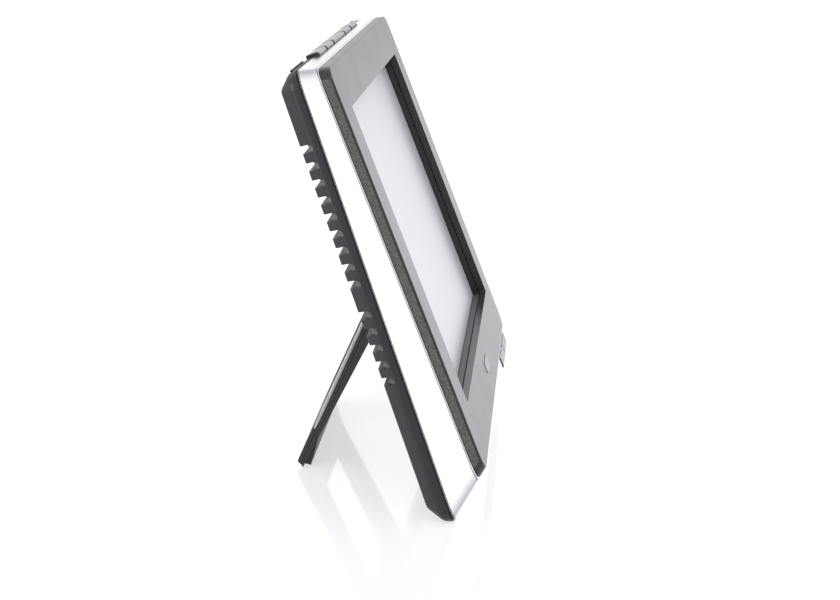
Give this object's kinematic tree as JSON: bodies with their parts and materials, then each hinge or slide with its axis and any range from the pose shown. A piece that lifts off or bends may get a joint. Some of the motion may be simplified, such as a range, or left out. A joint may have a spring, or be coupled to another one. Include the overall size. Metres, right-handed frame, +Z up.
{
  "type": "digital photo frame",
  "caption": "Slim landscape digital photo frame with a dark bezel, polished band, vented back cover, press keys and a folding rear leg.",
  "frame": {"origin": "centre of the bounding box footprint, on the table plane", "axes": "+X along the width to the right seen from the front, +Y from the screen to the back, +Z up; the screen leans back 21 degrees"},
  "size_m": [0.1868, 0.0627, 0.1319],
  "materials": {
    "bezel_plastic": "dark moulded plastic with a fine grain",
    "badge_metal": "satin",
    "band_metal": "polished silver plating",
    "cover_plastic": "charcoal moulded plastic",
    "leg_plastic": "charcoal moulded plastic",
    "foot_rubber": "matt",
    "pin_steel": "turned",
    "screen_glass": "matt antiglare film",
    "tray_steel": "stamped sheet",
    "inner_plastic": "black moulded plastic",
    "circuit_board": "green solder mask",
    "switch_plastic": "black moulded plastic",
    "chip_plastic": "matt epoxy",
    "socket_steel": "tin plated",
    "ribbon_film": "white polyester film",
    "screw_steel": "zinc plated, dark",
    "key_plastic": "grey moulded plastic"
  },
  "bodies": {
    "housing": {"back_cover": "cover_plastic", "badge_plate": "badge_metal", "board_chips": "chip_plastic", "board_screws": "screw_steel", "bottom_pod": "band_metal", "card_slot": "socket_steel", "case_screws": "screw_steel", "dc_jack": "switch_plastic", "friction_washers": "pin_steel", "front_bezel": "bezel_plastic", "hinge_pins": "pin_steel", "key_board": "circuit_board", "key_ribbon": "ribbon_film", "key_switches": "switch_plastic", "lcd_backlight": "tray_steel", "lcd_glass": "screen_glass", "lcd_holder": "inner_plastic", "main_board": "circuit_board", "panel_ribbon": "ribbon_film", "pod_board": "circuit_board", "pod_ribbon": "ribbon_film", "pod_switches": "switch_plastic", "silver_band": "band_metal", "usb_socket": "socket_steel"},
    "leg": {"stand_leg": "leg_plastic", "leg_foot_pad": "foot_rubber"},
    "top_key_1": {"top_key_1": "key_plastic"},
    "top_key_2": {"top_key_2": "key_plastic"},
    "top_key_long": {"top_key_long": "key_plastic"},
    "top_key_4": {"top_key_4": "key_plastic"},
    "top_key_5": {"top_key_5": "key_plastic"},
    "bottom_key_left": {"bottom_key_left": "key_plastic"},
    "bottom_key_right": {"bottom_key_right": "key_plastic"}
  },
  "joints": [
    {"name": "leg_hinge", "type": "hinge", "parent": "housing", "child": "leg", "pos_m": [0, 0.00371, 0.05949], "axis": [1, 0, 0], "range_deg": [-43.1, 0]},
    {"name": "top_key_1_press", "type": "slide", "parent": "housing", "child": "top_key_1", "axis": [0, -0.3589, -0.9334], "range_m": [0, 0.0006], "stiffness_N_per_m": 600, "springref_m": -0.0005},
    {"name": "top_key_2_press", "type": "slide", "parent": "housing", "child": "top_key_2", "axis": [0, -0.3589, -0.9334], "range_m": [0, 0.0006], "stiffness_N_per_m": 600, "springref_m": -0.0005},
    {"name": "top_key_long_press", "type": "slide", "parent": "housing", "child": "top_key_long", "axis": [0, -0.3589, -0.9334], "range_m": [0, 0.0006], "stiffness_N_per_m": 600, "springref_m": -0.0005},
    {"name": "top_key_4_press", "type": "slide", "parent": "housing", "child": "top_key_4", "axis": [0, -0.3589, -0.9334], "range_m": [0, 0.0006], "stiffness_N_per_m": 600, "springref_m": -0.0005},
    {"name": "top_key_5_press", "type": "slide", "parent": "housing", "child": "top_key_5", "axis": [0, -0.3589, -0.9334], "range_m": [0, 0.0006], "stiffness_N_per_m": 600, "springref_m": -0.0005},
    {"name": "bottom_key_left_press", "type": "slide", "parent": "housing", "child": "bottom_key_left", "axis": [0, 0.9334, -0.3589], "range_m": [0, 0.0006], "stiffness_N_per_m": 600, "springref_m": -0.0005},
    {"name": "bottom_key_right_press", "type": "slide", "parent": "housing", "child": "bottom_key_right", "axis": [0, 0.9334, -0.3589], "range_m": [0, 0.0006], "stiffness_N_per_m": 600, "springref_m": -0.0005}
  ]
}
